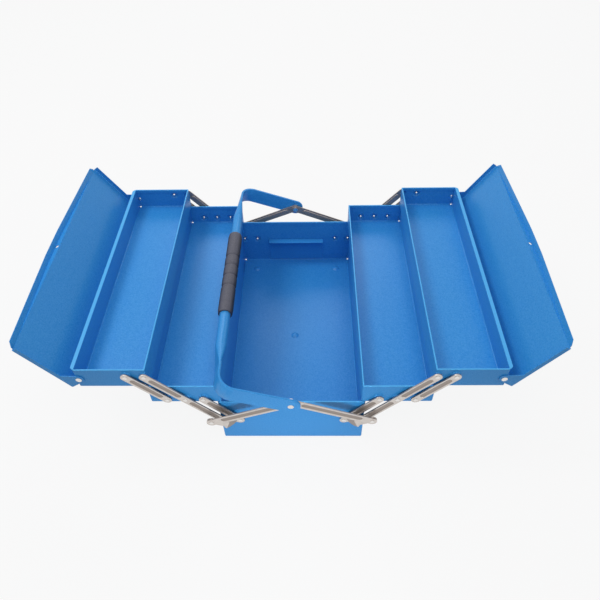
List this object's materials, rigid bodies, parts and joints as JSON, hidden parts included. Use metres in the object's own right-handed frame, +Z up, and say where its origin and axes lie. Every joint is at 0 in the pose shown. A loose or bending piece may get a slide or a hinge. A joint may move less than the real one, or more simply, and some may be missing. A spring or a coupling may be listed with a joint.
{
  "type": "cantilever tool box",
  "caption": "Folded sheet-steel tool box whose trays swing out on riveted arms to both sides, with hinged lids and a folding carrying handle.",
  "frame": {"origin": "bottom centre of the bin, on the surface it stands on", "axes": "+X to the right across the opened trays, +Y to the back along the bin, +Z up; the lock holes and handle arms at -Y are the front"},
  "size_m": [0.7226, 0.4436, 0.2226],
  "materials": {
    "blue_enamel": "satin blue powder coat",
    "zinc_plate": "zinc-plated pressed steel",
    "bright_rivet": "bright steel rivet",
    "grip_rubber": "matt moulded rubber"
  },
  "bodies": {
    "base": {"base_bin": "blue_enamel", "base_doubler_front": "blue_enamel", "base_doubler_rear": "blue_enamel", "base_pivot_rivets": "bright_rivet"},
    "handle": {"handle_bail": "blue_enamel", "handle_grip": "grip_rubber", "handle_pivot_rivets": "bright_rivet"},
    "long_arms_right": {"long_arm_front_right": "zinc_plate", "long_arm_rear_right": "zinc_plate"},
    "crank_arms_right": {"crank_arm_front_right": "zinc_plate", "crank_arm_rear_right": "zinc_plate", "crank_rivets_right": "bright_rivet"},
    "lower_tray_right": {"lower_tray_right": "blue_enamel", "lower_tray_rivets_right": "bright_rivet"},
    "upper_tray_right": {"upper_tray_right": "blue_enamel", "upper_tray_rivets_right": "bright_rivet"},
    "short_links_right": {"short_link_front_right": "zinc_plate", "short_link_rear_right": "zinc_plate"},
    "handle_links_right": {"handle_link_front_right": "zinc_plate", "handle_link_rear_right": "zinc_plate"},
    "lid_right": {"lid_right": "blue_enamel"},
    "long_arms_left": {"long_arm_front_left": "zinc_plate", "long_arm_rear_left": "zinc_plate"},
    "crank_arms_left": {"crank_arm_front_left": "zinc_plate", "crank_arm_rear_left": "zinc_plate", "crank_rivets_left": "bright_rivet"},
    "lower_tray_left": {"lower_tray_left": "blue_enamel", "lower_tray_rivets_left": "bright_rivet"},
    "upper_tray_left": {"upper_tray_left": "blue_enamel", "upper_tray_rivets_left": "bright_rivet"},
    "short_links_left": {"short_link_front_left": "zinc_plate", "short_link_rear_left": "zinc_plate"},
    "handle_links_left": {"handle_link_front_left": "zinc_plate", "handle_link_rear_left": "zinc_plate"},
    "lid_left": {"lid_left": "blue_enamel"}
  },
  "joints": [
    {"name": "fold", "type": "hinge", "parent": "base", "child": "long_arms_right", "pos_m": [0.1001, 0, 0.0545], "axis": [0, -1, 0], "range_deg": [0, 83.33]},
    {"name": "right_cranks", "type": "hinge", "parent": "base", "child": "crank_arms_right", "pos_m": [0.0751, 0, 0.0545], "axis": [0, -1, 0], "range_deg": [0, 83.83]},
    {"name": "right_lower_tray", "type": "hinge", "parent": "long_arms_right", "child": "lower_tray_right", "pos_m": [0.147, 0, 0.1072], "axis": [0, 1, 0], "range_deg": [0, 83.83]},
    {"name": "right_upper_tray", "type": "hinge", "parent": "long_arms_right", "child": "upper_tray_right", "pos_m": [0.1939, 0, 0.1599], "axis": [0, 1, 0], "range_deg": [0, 83.83]},
    {"name": "right_short_links", "type": "hinge", "parent": "lower_tray_right", "child": "short_links_right", "pos_m": [0.172, 0, 0.1072], "axis": [0, -1, 0], "range_deg": [0, 83.83]},
    {"name": "right_handle_links", "type": "hinge", "parent": "crank_arms_right", "child": "handle_links_right", "pos_m": [0.1143, 0, 0.0679], "axis": [0, 1, 0], "range_deg": [0, 119.04]},
    {"name": "right_lid", "type": "hinge", "parent": "upper_tray_right", "child": "lid_right", "pos_m": [0.2833, 0, 0.1522], "axis": [0, -1, 0], "range_deg": [0, 112]},
    {"name": "left_long_arms", "type": "hinge", "parent": "base", "child": "long_arms_left", "pos_m": [-0.1001, 0, 0.0545], "axis": [0, 1, 0], "range_deg": [0, 83.83]},
    {"name": "left_cranks", "type": "hinge", "parent": "base", "child": "crank_arms_left", "pos_m": [-0.0751, 0, 0.0545], "axis": [0, 1, 0], "range_deg": [0, 83.83]},
    {"name": "left_lower_tray", "type": "hinge", "parent": "long_arms_left", "child": "lower_tray_left", "pos_m": [-0.147, 0, 0.1072], "axis": [0, -1, 0], "range_deg": [0, 83.83]},
    {"name": "left_upper_tray", "type": "hinge", "parent": "long_arms_left", "child": "upper_tray_left", "pos_m": [-0.1939, 0, 0.1599], "axis": [0, -1, 0], "range_deg": [0, 83.83]},
    {"name": "left_short_links", "type": "hinge", "parent": "lower_tray_left", "child": "short_links_left", "pos_m": [-0.172, 0, 0.1072], "axis": [0, 1, 0], "range_deg": [0, 83.83]},
    {"name": "left_handle_links", "type": "hinge", "parent": "crank_arms_left", "child": "handle_links_left", "pos_m": [-0.1143, 0, 0.0679], "axis": [0, -1, 0], "range_deg": [0, 119.04]},
    {"name": "left_lid", "type": "hinge", "parent": "upper_tray_left", "child": "lid_left", "pos_m": [-0.2833, 0, 0.1522], "axis": [0, 1, 0], "range_deg": [0, 112]},
    {"name": "handle_swing", "type": "hinge", "parent": "handle_links_right", "child": "handle", "pos_m": [0, 0, 0.11546], "axis": [0, 1, 0], "range_deg": [0, 125]}
  ],
  "couplings": [
    {"joint": "right_cranks", "follows": "fold", "ratio": 1},
    {"joint": "right_lower_tray", "follows": "fold", "ratio": 1},
    {"joint": "right_upper_tray", "follows": "fold", "ratio": 1},
    {"joint": "right_short_links", "follows": "fold", "ratio": 1},
    {"joint": "right_handle_links", "follows": "fold", "ratio": 1.4201},
    {"joint": "left_long_arms", "follows": "fold", "ratio": 1},
    {"joint": "left_cranks", "follows": "fold", "ratio": 1},
    {"joint": "left_lower_tray", "follows": "fold", "ratio": 1},
    {"joint": "left_upper_tray", "follows": "fold", "ratio": 1},
    {"joint": "left_short_links", "follows": "fold", "ratio": 1},
    {"joint": "left_handle_links", "follows": "fold", "ratio": 1.4201}
  ]
}
